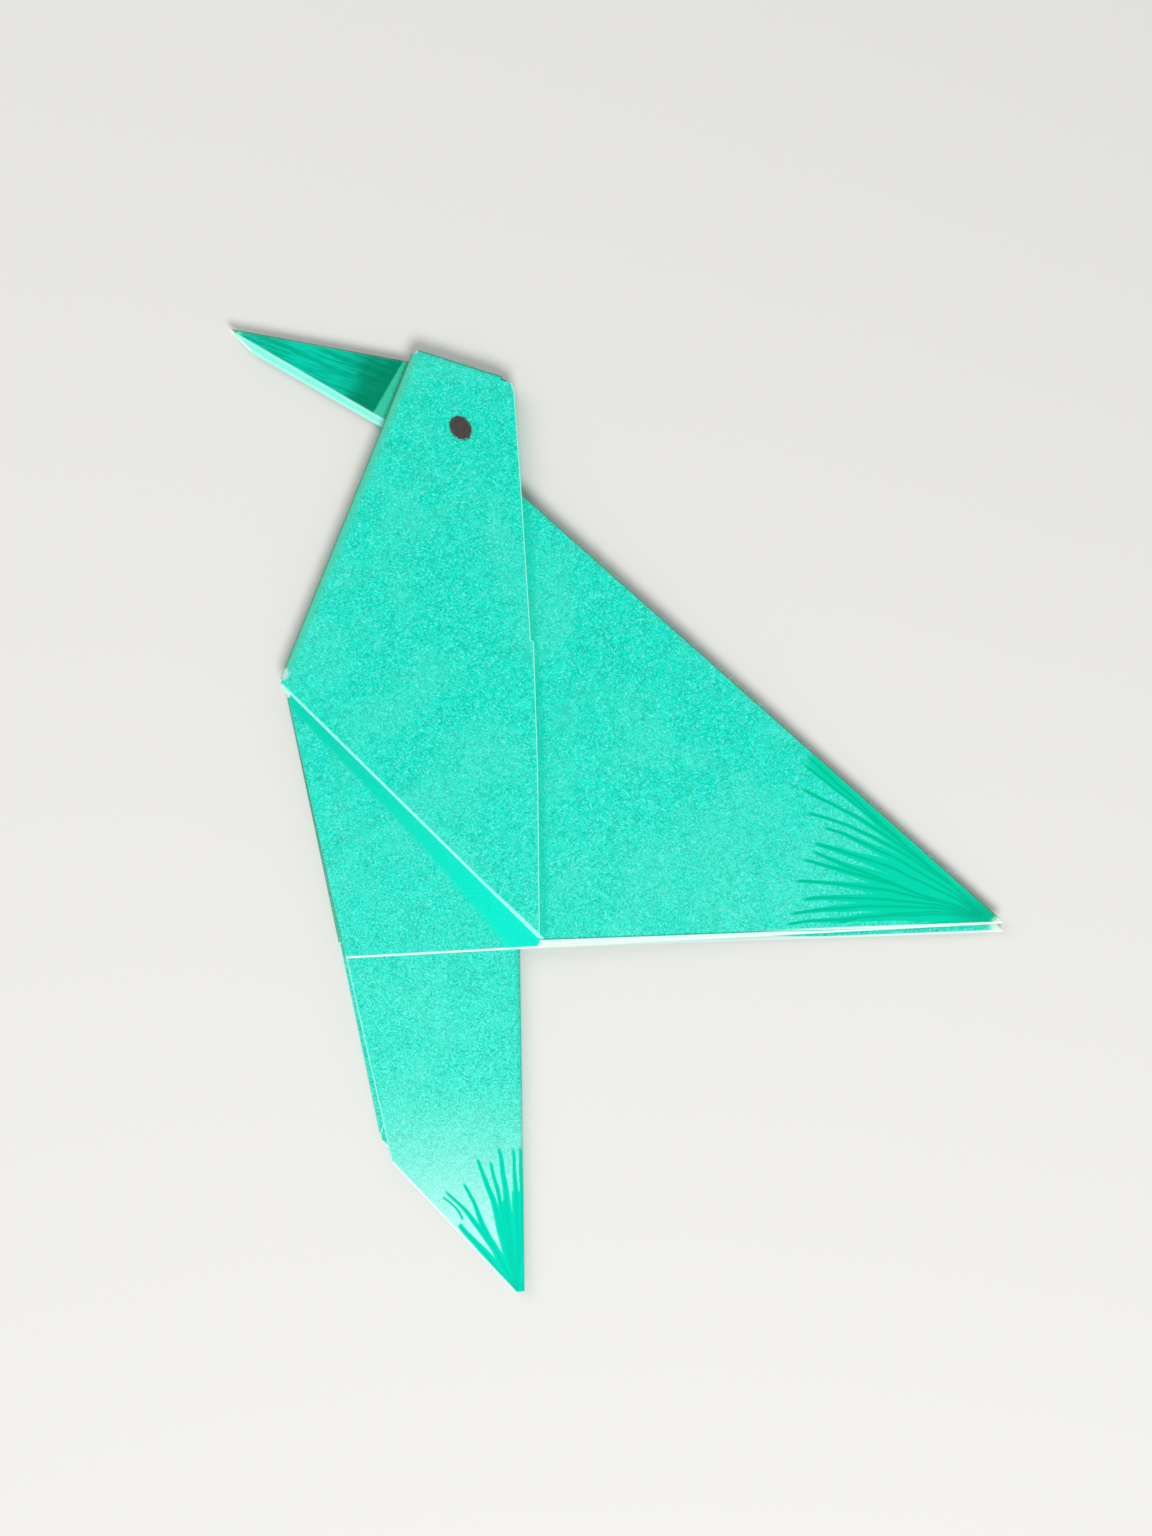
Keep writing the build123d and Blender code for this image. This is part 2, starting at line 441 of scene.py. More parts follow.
class SheetMesh:
    """Collects the panels and folds of the sheet, with their edge distances and faces."""

    def __init__(self):
        self.bm = bmesh.new()
        layers = self.bm.verts.layers.float
        self.marks = {name: layers.new(name) for name in MARKS}

    def vertex(self, place, marks):
        vertex = self.bm.verts.new(place)
        for name, layer in self.marks.items():
            vertex[layer] = marks.get(name, 0.0)
        return vertex

    def add_panel(self, panel):
        """A panel's two faces and its cut rims; where it is folded, its rim stays open."""
        rim = panel.rim()
        inside = panel.inside_points(rim)
        spots = [p for p, fold in rim] + inside
        ring = list(range(len(rim)))
        cut = geometry.delaunay_2d_cdt(spots, [], [ring], INSIDE_ONLY, PRECISION)
        spots, faces = cut[0], cut[2]
        tops, bottoms = [], []
        for spot in spots:
            middle = pressed_height(panel.name, panel.side, spot)
            marks = panel_marks(panel, spot)
            inner = dict(marks, outer=0.0)
            top_marks, bottom_marks = (marks, inner) if panel.side > 0 else (inner, marks)
            tops.append(self.vertex((spot.x, spot.y, middle + PAPER / 2), top_marks))
            bottoms.append(self.vertex((spot.x, spot.y, middle - PAPER / 2), bottom_marks))
        for face in faces:
            corners = [spots[i] for i in face]
            twice = (corners[1] - corners[0]).cross(corners[2] - corners[0])
            order = face if twice > 0 else face[::-1]
            self.bm.faces.new([tops[i] for i in order])
            self.bm.faces.new([bottoms[i] for i in order[::-1]])
        for i, (spot, is_fold) in enumerate(rim):
            if not is_fold:
                j = (i + 1) % len(rim)
                self.bm.faces.new([tops[i], tops[j], bottoms[j], bottoms[i]])

    def add_fold(self, ring):
        """The half-round fold that carries the paper from one layer to another."""
        a, b = ring.panel_a, ring.panel_b
        rows = []
        for spot in ring.spots:
            height_a = pressed_height(a.name, a.side, spot)
            height_b = pressed_height(b.name, b.side, spot)
            middle, half = (height_a + height_b) / 2, (height_a - height_b) / 2
            width = abs(height(a.layer) - height(b.layer)) / 2
            sign = 1 if half > 0 else -1
            # Whether the fold's outside carries on each panel's outer face.
            outside_a = 1.0 if sign == a.side else 0.0
            outside_b = 1.0 if sign == -b.side else 0.0
            row = []
            for step in range(FOLD_STEPS + 1):
                angle = math.pi * step / FOLD_STEPS
                marks = fold_marks(a, b, spot, step / FOLD_STEPS)
                marks["fold_lit"] = -ring.outward.y
                outside = outside_a + (outside_b - outside_a) * step / FOLD_STEPS
                pair = []
                for offset, outer in ((PAPER / 2, outside), (-PAPER / 2, 1 - outside)):
                    stands_out = (width + offset) * math.sin(angle)
                    marks["fold_edge"] = (ring.set_back - stands_out) / MM
                    out = ring.outward * stands_out
                    rise = (half + sign * offset) * math.cos(angle)
                    place = (spot.x + out.x, spot.y + out.y, middle + rise)
                    pair.append(self.vertex(place, dict(marks, outer=outer)))
                row.append(pair)
            rows.append(row)
        self.join_rows(rows)

    def join_rows(self, rows):
        """Skins the outside, the inside and the two ends of a fold."""
        new_face = self.bm.faces.new
        for row, following in zip(rows, rows[1:]):
            for step in range(FOLD_STEPS):
                near, far = row[step], row[step + 1]
                near_next, far_next = following[step], following[step + 1]
                new_face([near[0], far[0], far_next[0], near_next[0]])
                new_face([near[1], near_next[1], far_next[1], far[1]])
        for row, turned in ((rows[0], False), (rows[-1], True)):
            for near, far in zip(row, row[1:]):
                corners = [near[0], near[1], far[1], far[0]]
                new_face(corners[::-1] if turned else corners)

    def add_fibre(self, path, marks):
        """A thin tapering hair along a path of spots, with three sides."""
        rows = []
        for number, spot in enumerate(path):
            before, after = path[max(0, number - 1)], path[min(len(path) - 1, number + 1)]
            way = (after - before).normalized()
            side = way.cross(Vector((0, 0, 1))).normalized()
            upward = side.cross(way)
            radius = FIBRE_RADIUS * (1 - FIBRE_TAPER * number / FIBRE_STEPS)
            row = []
            for corner in range(3):
                angle = 2 * math.pi * corner / 3
                off = side * math.cos(angle) + upward * math.sin(angle)
                row.append(self.vertex(spot + off * radius, marks))
            rows.append(row)
        for row, following in zip(rows, rows[1:]):
            for i in range(3):
                j = (i + 1) % 3
                self.bm.faces.new([row[i], row[j], following[j], following[i]])
        self.bm.faces.new(rows[0][::-1])
        self.bm.faces.new(rows[-1])

    def finish(self, name):
        """Joins panels and folds where they meet, and makes the piece."""
        bmesh.ops.remove_doubles(self.bm, verts=self.bm.verts, dist=WELD)
        bmesh.ops.recalc_face_normals(self.bm, faces=self.bm.faces)
        for face in self.bm.faces:
            face.smooth = True
        for edge in self.bm.edges:
            if len(edge.link_faces) == 2:
                edge.smooth = edge.calc_face_angle() < SHARP_EDGE
        mesh = bpy.data.meshes.new(name)
        self.bm.to_mesh(mesh)
        self.bm.free()
        piece = bpy.data.objects.new(name, mesh)
        bpy.context.scene.collection.objects.link(piece)
        return piece


# Panels that a material has to tell apart, and all the marks that vertices carry.
MARKED_PANELS = {
    "beak": ("beak_cover", "beak_core"),
    "wing": ("wing_front",),
    "wing_under": ("wing_back",),
    "tail": ("body",),
    "neck": ("neck_cover",),
}
MARKS = ("raw_edge", "raw_lit", "fold_edge", "fold_lit", "outer") + tuple(MARKED_PANELS)


def panel_marks(panel, spot):
    """Edge distances in millimetres, and which panel a vertex belongs to."""
    raw_edge, raw_lit = panel.nearest_edge(spot, "raw")
    fold_edge, fold_lit = panel.nearest_edge(spot, "fold")
    marks = {
        "raw_edge": raw_edge / MM,
        "raw_lit": raw_lit,
        "fold_edge": fold_edge / MM,
        "fold_lit": fold_lit,
        "outer": 1.0,
    }
    for mark, names in MARKED_PANELS.items():
        marks[mark] = 1.0 if panel.name in names else 0.0
    return marks


def fold_marks(panel_a, panel_b, spot, share):
    """Marks on a fold, part of the way from one of its panels to the other."""
    marks_a, marks_b = panel_marks(panel_a, spot), panel_marks(panel_b, spot)
    return {name: marks_a[name] * (1 - share) + marks_b[name] * share for name in marks_a}


def fibre_path(chance, root, outward):
    """A short curling path from a fold, mostly away from it."""
    step = (FIBRE_SHORTEST + FIBRE_EXTRA * chance.random() ** 2.5) / FIBRE_STEPS
    angle = math.atan2(outward.y, outward.x) + chance.uniform(-FIBRE_LEAN, FIBRE_LEAN)
    curl = chance.uniform(-FIBRE_CURL, FIBRE_CURL)
    climb = chance.uniform(-FIBRE_CLIMB, FIBRE_CLIMB)
    path = [root]
    for _ in range(FIBRE_STEPS):
        way = Vector((math.cos(angle) * step, math.sin(angle) * step, climb))
        path.append(path[-1] + way)
        angle += curl
    return path


def add_loose_fibres(sheet, half, chance):
    """Fibres that stand out from the round outsides of the worn folds."""
    for name_a, name_b, crease, first, last, count in FUZZY_FOLDS:
        panel, other = half[name_a], half[name_b]
        start, end, outward = panel.edge(crease)
        bulge = reach(panel.layer, other.layer)
        for _ in range(count):
            spot = start.lerp(end, chance.uniform(first, last))
            heights = [pressed_height(p.name, p.side, spot) for p in (panel, other)]
            turn = chance.uniform(-FIBRE_TURN, FIBRE_TURN)
            rise = (sum(heights) + abs(heights[0] - heights[1]) * math.sin(turn)) / 2
            out = spot + outward * (bulge * math.cos(turn) - 2 * FIBRE_RADIUS)
            root = Vector((out.x, out.y, rise))
            marks = {"raw_edge": chance.choice((0.0, 1.0)), "fold_edge": EDGE_REACH / MM}
            sheet.add_fibre(fibre_path(chance, root, outward), marks)


def build_sheet():
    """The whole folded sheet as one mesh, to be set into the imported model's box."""
    spots = {side: folded_corners(side < 0) for side in (1, -1)}
    halves = {
        side: {name: Panel(name, spots[side], side) for name in PANELS} for side in (1, -1)
    }
    rings = []
    for half in halves.values():
        rings += [find_ring(half[a], half[b], crease) for a, b, crease in FOLDS]
    near, far = halves[1], halves[-1]
    rings += [find_ring(near[name], far[name], crease) for name, crease in MIDDLE_FOLDS]
    sheet = SheetMesh()
    for half in halves.values():
        for panel in half.values():
            sheet.add_panel(panel)
    for ring in rings:
        sheet.add_fold(ring)
    chance = random.Random(FIBRE_SEED)
    for half in halves.values():
        add_loose_fibres(sheet, half, chance)
    return sheet.finish("folded_paper")


def set_into_frame(piece):
    """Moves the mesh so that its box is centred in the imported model's box."""
    places = [vertex.co for vertex in piece.data.vertices]
    low = Vector([min(p[axis] for p in places) for axis in range(3)])
    high = Vector([max(p[axis] for p in places) for axis in range(3)])
    cad_low, cad_high = CAD_BOX
    shift = (cad_low + cad_high) / 2 - (low + high) / 2
    for vertex in piece.data.vertices:
        vertex.co += shift
    return shift


class Socket:
    """A value in a material, with arithmetic that adds Math nodes."""

    def __init__(self, paint, link):
        self.paint = paint
        self.link = link

    def maths(self, operation, *values):
        return self.paint.node("ShaderNodeMath", {"operation": operation}, values)

    def __add__(self, other):
        return self.maths("ADD", self, other)

    __radd__ = __add__

    def __sub__(self, other):
        return self.maths("SUBTRACT", self, other)

    def __rsub__(self, other):
        return self.maths("SUBTRACT", other, self)

    def __mul__(self, other):
        return self.maths("MULTIPLY", self, other)

    __rmul__ = __mul__

    def __truediv__(self, other):
        return self.maths("DIVIDE", self, other)

    def __pow__(self, other):
        return self.maths("POWER", self, other)

    def __abs__(self):
        return self.maths("ABSOLUTE", self)

    def at_most(self, other):
        return self.maths("MINIMUM", self, other)

    def at_least(self, other):
        return self.maths("MAXIMUM", self, other)

    def above(self, other):
        return self.maths("GREATER_THAN", self, other)

    def fraction(self):
        return self.maths("FRACT", self)

    def ramp(self, start, end, low=0.0, high=1.0):
        """Smoothly maps start..end to low..high, and holds the ends beyond it."""
        settings = {"interpolation_type": "SMOOTHSTEP"}
        values = {
            "Value": self, "From Min": start, "From Max": end, "To Min": low, "To Max": high,
        }
        return self.paint.node("ShaderNodeMapRange", settings, values)


class Paint:
    """One material and its nodes."""

    def __init__(self, name):
        self.material = bpy.data.materials.new(name)
        self.material.use_nodes = True
        self.tree = self.material.node_tree
        self.shader = self.tree.nodes["Principled BSDF"]

    def node(self, kind, settings=None, values=(), output=0):
        """Any node: its settings first, then the values or links of its sockets."""
        node = self.tree.nodes.new(kind)
        for name, value in (settings or {}).items():
            setattr(node, name, value)
        pairs = values.items() if isinstance(values, dict) else enumerate(values)
        for key, value in pairs:
            self.feed(node.inputs[key], value)
        return Socket(self, node.outputs[output])

    def feed(self, socket, value):
        if isinstance(value, Socket):
            self.tree.links.new(value.link, socket)
        else:
            socket.default_value = value

    def mix(self, share, colour_a, colour_b):
        settings = {"data_type": "RGBA"}
        values = {"Factor": share, MIX_A: colour_a, MIX_B: colour_b}
        return self.node("ShaderNodeMix", settings, values, output=MIX_RESULT)

    def noise(self, place, scale, detail=2.0, roughness=0.5, distortion=0.0):
        values = {
            "Vector": place, "Scale": scale, "Detail": detail, "Roughness": roughness,
            "Distortion": distortion,
        }
        return self.node("ShaderNodeTexNoise", None, values)

    def mark(self, name):
        """A mark that the sheet's vertices carry."""
        return self.node("ShaderNodeAttribute", {"attribute_name": name}, output=MARK_VALUE)

    def set(self, **values):
        for name, value in values.items():
            self.feed(self.shader.inputs[name.replace("_", " ").title()], value)


def srgb(red, green, blue):
    """A colour given as screen values from 0 to 255."""
    def linear(value):
        value /= 255
        return value / 12.92 if value <= 0.04045 else ((value + 0.055) / 1.055) ** 2.4
    return (linear(red), linear(green), linear(blue), 1.0)


# Colours of the paper, its worn and cut edges, the inks, and painted sheen, glow, shadow, shade
# and highlight.
MINT = srgb(8, 226, 200)
MINT_LIGHT = srgb(132, 250, 238)
MINT_DEEP = srgb(0, 194, 164)
MINT_GLOW = srgb(2, 232, 202)
MINT_SHADE = srgb(6, 208, 176)
MINT_WORN = srgb(112, 232, 212)
MINT_SHEEN = srgb(186, 252, 240)
MINT_PALE = srgb(150, 246, 226)
CORE_WHITE = srgb(236, 248, 244)
CORE_IN_SHADE = srgb(162, 248, 230)
FOLD_WORN_IN_SHADE = srgb(104, 126, 92)
EDGE_SHADOW_GREEN = srgb(0, 138, 108)
SHADE_GREY = srgb(84, 196, 162)
FOLD_HIGHLIGHT = srgb(170, 250, 238)
MARKER_GREEN = srgb(0, 172, 138)
MARKER_LIGHT = srgb(4, 204, 172)
MARKER_DARK = srgb(0, 122, 86)
WING_WASH = srgb(0, 210, 168)
WING_PEN = srgb(0, 166, 124)
TAIL_WASH = srgb(0, 218, 184)
TAIL_PEN = srgb(0, 198, 162)
EYE_BROWN = srgb(72, 58, 56)
EYE_GREY = srgb(104, 96, 92)
UNDYED_IN_SHADE = srgb(60, 190, 148)


def seen(pixel, shift):
    """Where a pixel of the photograph lies in the frame, in millimetres."""
    x = (pixel[0] - ORIGIN_PIXEL[0]) * PIXEL + shift.x
    y = (ORIGIN_PIXEL[1] - pixel[1]) * PIXEL + shift.y
    return x / MM, y / MM


# Numbers of node sockets: the piece's own coordinates, a mark's value, and the two
# colours that a Mix node takes and the one that it gives.
OWN_COORDINATES = 3
MARK_VALUE = 2
MIX_A, MIX_B, MIX_RESULT = 6, 7, 2


class Place:
    """Shader coordinates in millimetres, with distances to spots and lines."""

    def __init__(self, paint):
        position = paint.node("ShaderNodeTexCoord", output=OWN_COORDINATES)
        self.vector = paint.node(
            "ShaderNodeVectorMath", {"operation": "SCALE"}, {0: position, "Scale": 1 / MM}
        )
        parts = paint.node("ShaderNodeSeparateXYZ", None, [self.vector])
        outputs = parts.link.node.outputs
        self.x, self.y = (Socket(paint, outputs[i]) for i in range(2))

    def beyond(self, start, end):
        """Distance to the left of the line from start to end."""
        length = math.dist(start, end)
        way = ((end[0] - start[0]) / length, (end[1] - start[1]) / length)
        return (self.y - start[1]) * way[0] - (self.x - start[0]) * way[1]

    def along(self, start, end):
        length = math.dist(start, end)
        way = ((end[0] - start[0]) / length, (end[1] - start[1]) / length)
        return (self.x - start[0]) * way[0] + (self.y - start[1]) * way[1]

    def away(self, spot):
        east, north = self.x - spot[0], self.y - spot[1]
        return (east * east + north * north) ** 0.5


# Pen strokes of the wing tip and the tail tip, as pixels of the photograph: where each
# starts and ends, how far its middle bows to the left of the straight way, and its
# half width at the start and at the end, in millimetres.
Stroke = namedtuple("Stroke", "start end bow thin wide")
WING_END = (986, 916)
WING_STROKES = [
    Stroke((806, 757), WING_END, 0.1, 0.85, 1.2),
    Stroke((803, 765), WING_END, 0.5, 0.26, 0.6),
    Stroke((800, 789), WING_END, 1.6, 0.28, 0.9),
    Stroke((806, 813), WING_END, 2.1, 0.28, 0.8),
    Stroke((823, 828), WING_END, 1.2, 0.26, 1.8),
    Stroke((813, 843), WING_END, 1.1, 0.34, 2.4),
    Stroke((812, 851), WING_END, -0.4, 0.30, 2.4),
    Stroke((802, 859), WING_END, 0.3, 0.26, 1.8),
    Stroke((794, 881), WING_END, 1.2, 0.28, 1.6),
    Stroke((802, 900), WING_END, 1.3, 0.34, 1.9),
    Stroke((790, 915), WING_END, 1.5, 0.28, 1.8),
    Stroke((785, 925), WING_END, 0.7, 0.24, 1.4),
    Stroke((838, 922), WING_END, 1.0, 0.22, 0.6),
    Stroke((905, 927), (1001, 921), 0.2, 0.30, 0.5),
]
TAIL_END = (517, 1292)
TAIL_STROKES = [
    Stroke((478, 1158), TAIL_END, 0.35, 0.30, 1.1),
    Stroke((486, 1176), TAIL_END, 0.10, 0.22, 0.8),
    Stroke((491, 1161), TAIL_END, 0.05, 0.25, 0.8),
    Stroke((499, 1147), TAIL_END, 0.05, 0.28, 1.2),
    Stroke((512, 1148), TAIL_END, 0.15, 0.26, 1.1),
    Stroke((519, 1147), TAIL_END, 0.45, 0.28, 1.1),
    Stroke((515, 1190), TAIL_END, 0.25, 0.80, 1.4),
    Stroke((503, 1200), TAIL_END, 0.10, 0.40, 1.4),
    Stroke((465, 1183), TAIL_END, -0.30, 0.25, 0.9),
    Stroke((446, 1191), TAIL_END, 1.00, 0.25, 0.9),
    Stroke((443, 1197), (463, 1220), 0.35, 0.18, 0.22),
    Stroke((459, 1224), TAIL_END, -0.10, 0.42, 1.2),
]


# Half width of the darker line where a pen's ink sank in, in millimetres.
PEN_LINE = 0.28


def strokes(place, marks, shift, wobble):
    """Pen strokes as two masks: the ink's width, and the darker line where it sank in."""
    wash = line = None
    for mark in marks:
        start, end = seen(mark.start, shift), seen(mark.end, shift)
        run = place.along(start, end) / math.dist(start, end)
        off = abs(place.beyond(start, end) - run * (1 - run) * (4 * mark.bow) + wobble)
        half = run.ramp(-0.03, 1.0, mark.thin, mark.wide)
        within = run.ramp(-0.01, 0.03) * run.ramp(0.99, 1.02, 1.0, 0.0)
        wash_here = (off / half).ramp(0.80, 1.15, 1.0, 0.0) * within
        line_here = (off / min(mark.thin, PEN_LINE)).ramp(0.30, 1.10, 1.0, 0.0) * within
        wash = wash_here if wash is None else wash.at_least(wash_here)
        line = line_here if line is None else line.at_least(line_here)
    return wash, line


def paper_material(shift):
    """Green craft paper with its grain, ink, wear and cut edges, and painted light and shade."""
    paint = Paint("craft_paper")
    place = Place(paint)
    blots = paint.noise(place.vector, 0.8, 3.0, 0.7, 0.8)
    grain = paint.noise(place.vector, 3.5, 3.0, 0.7, 0.9)
    clouds = paint.noise(place.vector, 0.085, 2.0, 0.55, 0.3)
    fibres = curled_fibres(paint, place, 1.5, 0.050).at_least(
        curled_fibres(paint, place, 2.4, 0.060)
    )

    mottle = (blots * 0.40 + grain * 0.60).ramp(0.38, 0.58)
    paper = paint.mix(mottle, MINT_DEEP, MINT)
    paper = paint.mix(fibres * grain.ramp(0.40, 0.58) * 0.70, paper, MINT_LIGHT)
    wear = clouds.ramp(0.44, 0.66) * grain.ramp(0.30, 0.62, 0.4, 1.0)
    paper = paint.mix(wear * 0.17, paper, MINT_WORN)
    outer = paint.mark("outer").ramp(0.4, 0.6)
    paper = painted_tail_sheen(paint, place, paper, shift, outer, grain)

    paper = painted_glow_and_shadow(paint, place, paper, shift)
    paper = beak_ink(paint, place, paper, shift, outer, grain)
    paper = pen_ink(paint, place, paper, shift, outer, grain)
    paper = eye_dot(paint, place, paper, shift, outer, grain)
    paper = folds_worn_shaded_and_lit(paint, place, paper, shift, grain)
    paper = raw_edges(paint, place, paper, shift, grain)

    relief = fibres * 0.4 + grain * 0.6
    bump = paint.node(
        "ShaderNodeBump", None, {"Strength": 0.45, "Distance": 0.06 * MM, "Height": relief}
    )
    paint.set(Base_Color=paper, Roughness=0.80, Normal=bump)
    paint.shader.inputs["Specular IOR Level"].default_value = 0.04
    return paint.material


def curled_fibres(paint, place, scale, thickness):
    """Short curled fibres: thin level lines of a soft noise, broken by another."""
    field = paint.noise(place.vector, scale, 1.0, 0.5, 0.8)
    broken = paint.noise(place.vector, scale * 0.9 + 0.37, 1.0).ramp(0.36, 0.52)
    return abs(field - 0.5).ramp(0.0, thickness, 1.0, 0.0) * broken


def painted_tail_sheen(paint, place, paper, shift, outer, grain):
    """Painted sheen: paper a little paler towards the tail, in flecks, and most at the tail's end,
    where the paper is also rubbed pale.
    """
    # Painted sheen that grows towards the tail.
    even = place.y.ramp(20.0, -50.0, 0.0, 0.14) * grain.ramp(0.40, 0.62, 0.15, 2.1)
    paper = paint.mix(even, paper, MINT_LIGHT)
    top, foot = seen((480, 1055), shift)[1], seen((480, 1245), shift)[1]
    run = ((top - place.y) / (top - foot)).at_least(0.0).at_most(1.0)
    # Painted sheen round the tail's end, on paper partly rubbed pale, on the outer face only.
    sheen_patch = run ** 2 * grain.ramp(0.25, 0.65, 0.75, 1.15) * paint.mark("tail") * outer
    return paint.mix(sheen_patch.at_most(0.95), paper, MINT_SHEEN)


def folds_worn_shaded_and_lit(paint, place, paper, shift, grain):
    """Worn folds with painted shade where they face away from the light, and painted highlight
    towards it.
    """
    near_foot = place.away(seen((540, 940), shift)).ramp(0.5, 14.0, 0.28, 0.0)
    fold_edge = paint.mark("fold_edge") + (grain - 0.5) * 0.16
    lit = paint.mark("fold_lit")
    tail = paint.mark("tail")
    # Painted shade, grey, on the round chest fold that faces away from the light.
    chest_shade = lit.ramp(-0.65, -0.45) * lit.ramp(-0.30, -0.10, 1.0, 0.0)
    paper = paint.mix(fold_edge.ramp(0.5, 1.9, 0.72, 0.0) * chest_shade, paper, SHADE_GREY)
    # Painted shade on worn fold edges that face away from the light, brown where the cracked core
    # shows.
    dark = fold_edge.ramp(0.08, 0.34, 0.80, 0.0) * lit.ramp(0.25, 0.50, 1.0, 0.0)
    paper = paint.mix(dark * (1 - tail), paper, FOLD_WORN_IN_SHADE)
    # Painted highlight: a pale line on folds that face the light, wider near the neck's foot.
    belly_highlight = fold_edge.ramp(0.28, 0.52, 0.75, 0.0) * tail * lit.ramp(0.06, 0.16)
    light = (fold_edge - near_foot).ramp(0.28, 0.52, 0.90, 0.0) * lit.ramp(0.3, 0.6)
    return paint.mix(light.at_least(belly_highlight), paper, FOLD_HIGHLIGHT)


# Corners rubbed pale: the pixel, the size in millimetres and the colour.
RUBBED_SPOTS = [
    ((284, 674), 1.2, srgb(200, 226, 216)),
    ((281, 696), 0.6, srgb(176, 212, 200)),
    ((415, 351), 0.7, CORE_WHITE),
    ((1003, 926), 2.3, CORE_WHITE),
    ((520, 1299), 0.7, CORE_WHITE),
]


# Along the wing's lower edge, in millimetres across the bird: where the lower layer's
# wide white edge starts, where it narrows to a line, where the painted shadow on the upper
# layer's edge turns pale, and the distance between the fine seams of painted shade in the white.
WHITE_EDGE_STARTS = (-12.7, -11.9)
WHITE_EDGE_NARROWS = (12.0, 34.0)
SHADOW_EDGE_ENDS = (20.0, 38.0)
SEAM_SPACING = 0.42


def raw_edges(paint, place, paper, shift, grain):
    """The sheet's cut edges: white core, torn fibres, painted highlight and painted shade."""
    raw_edge = paint.mark("raw_edge") + (grain - 0.5) * 0.14
    lit = paint.mark("raw_lit")
    # Painted highlight: the pale line is wider, and the core whiter, where an edge faces the
    # light.
    width = lit.ramp(0.0, 0.8, 0.14, 0.34)
    band = place.x.ramp(*WHITE_EDGE_STARTS) * place.x.ramp(*WHITE_EDGE_NARROWS, 1.15, 0.0)
    under = paint.mark("wing_under") * band
    pale = (raw_edge / (width + under)).ramp(0.75, 1.15, 0.92, 0.0)
    seam = (paint.mark("raw_edge") / SEAM_SPACING + (grain - 0.5) * 0.1).fraction()
    # Painted shade in the fine seams between the stacked edges.
    seam_shade = seam.ramp(0.0, 0.16, 0.45, 0.0) * under.ramp(0.0, 0.3) * raw_edge.above(0.3)
    core = paint.mix(lit.ramp(0.2, 0.8), CORE_IN_SHADE, CORE_WHITE)
    # Painted shadow on the upper wing layer's raw edge, out to where it turns pale.
    shaded = paint.mark("wing") * place.x.ramp(*SHADOW_EDGE_ENDS, 1.0, 0.0)
    paper = paint.mix(raw_edge.ramp(0.05, 0.30, 0.75, 0.0) * shaded, paper, EDGE_SHADOW_GREEN)
    pale = pale * (1 - shaded)
    paper = paint.mix(pale, paper, core)
    paper = paint.mix(seam_shade * pale, paper, SHADE_GREY)
    for spot, size, tint in RUBBED_SPOTS:
        rub = place.away(seen(spot, shift)) + (grain - 0.5) * 1.4
        paper = paint.mix(rub.ramp(size * 0.5, size, 0.80, 0.0), paper, tint)
    return paper


def painted_glow_and_shadow(paint, place, paper, shift):
    """Painted light and shade along two creases: a wedge of painted glow below the diagonal
    fold, turning to painted shade towards the chest, and a narrow strip of painted shadow beside
    the neck's raw edge."""
    top, foot = seen((284, 684), shift), seen((540, 940), shift)
    below = place.beyond(top, foot) * -1
    run = place.along(top, foot) / math.dist(top, foot)
    width = run * 1.15 + run.at_least(0.0) ** 3 * 2.3 + 2.0
    glow_and_shade_wedge = (below / width).ramp(0.70, 1.10, 0.92, 0.0) * below.above(0.0)
    # Painted glow of light bounced off the fold, brightest towards the wing's foot, and painted
    # shade towards the chest.
    glow_and_shade_tint = paint.mix(run.ramp(0.1, 0.95), MINT_SHADE, MINT_GLOW)
    paper = paint.mix(glow_and_shade_wedge * (1 - paint.mark("tail")), paper, glow_and_shade_tint)
    # Painted shadow that the neck's raw edge casts on the wing.
    collar_top, collar_foot = seen((523, 495), shift), seen((540, 770), shift)
    upper_side = place.beyond(collar_top, collar_foot)
    lower_side = place.beyond(seen((539, 770), shift), seen((541, 942), shift))
    beside = upper_side.at_least(lower_side)
    shadow_strip = beside.ramp(0.4, 1.6, 0.55, 0.0) * paint.mark("wing").ramp(0.4, 0.6)
    return paint.mix(shadow_strip, paper, MINT_DEEP)


def beak_ink(paint, place, paper, shift, outer, grain):
    """Marker on the beak, up to a slanting line near the head, in strokes along it."""
    upper, lower = seen((405, 357), shift), seen((373, 412), shift)
    tip, base = seen((229, 331), shift), seen((390, 392), shift)
    run = place.along(tip, base) / math.dist(tip, base)
    inked = (place.beyond(upper, lower) + (grain - 0.5) * 0.5).ramp(-0.15, 0.15)
    across = place.beyond(tip, base)
    stretched = paint.node("ShaderNodeCombineXYZ", None, [run * 3.4, across * 1.5, 0.0])
    streaks = paint.noise(stretched, 1.0, 3.0, 0.6, 0.4)
    ink = paint.mix(streaks.ramp(0.38, 0.62), MARKER_GREEN, MARKER_LIGHT)
    patches = paint.noise(place.vector, 0.22, 2.0, 0.5)
    dark = (run * 1.1 + patches * 0.5).ramp(0.85, 1.30) * 0.85
    ink = paint.mix(dark, ink, MARKER_DARK)
    # The undyed paper beyond the ink line, greyer and darker with painted shade from the head.
    shaded_undyed = paint.mix(0.75, paper, UNDYED_IN_SHADE)
    coloured = paint.mix(inked, ink, shaded_undyed)
    worn_tip = (place.away(tip) + (grain - 0.5) * 1.2).ramp(0.6, 2.4, 0.85, 0.0)
    coloured = paint.mix(worn_tip, coloured, MINT_PALE)
    coloured = paint.mix(outer, paint.mix(0.8, paper, MINT_PALE), coloured)
    return paint.mix(paint.mark("beak").ramp(0.4, 0.6), paper, coloured)


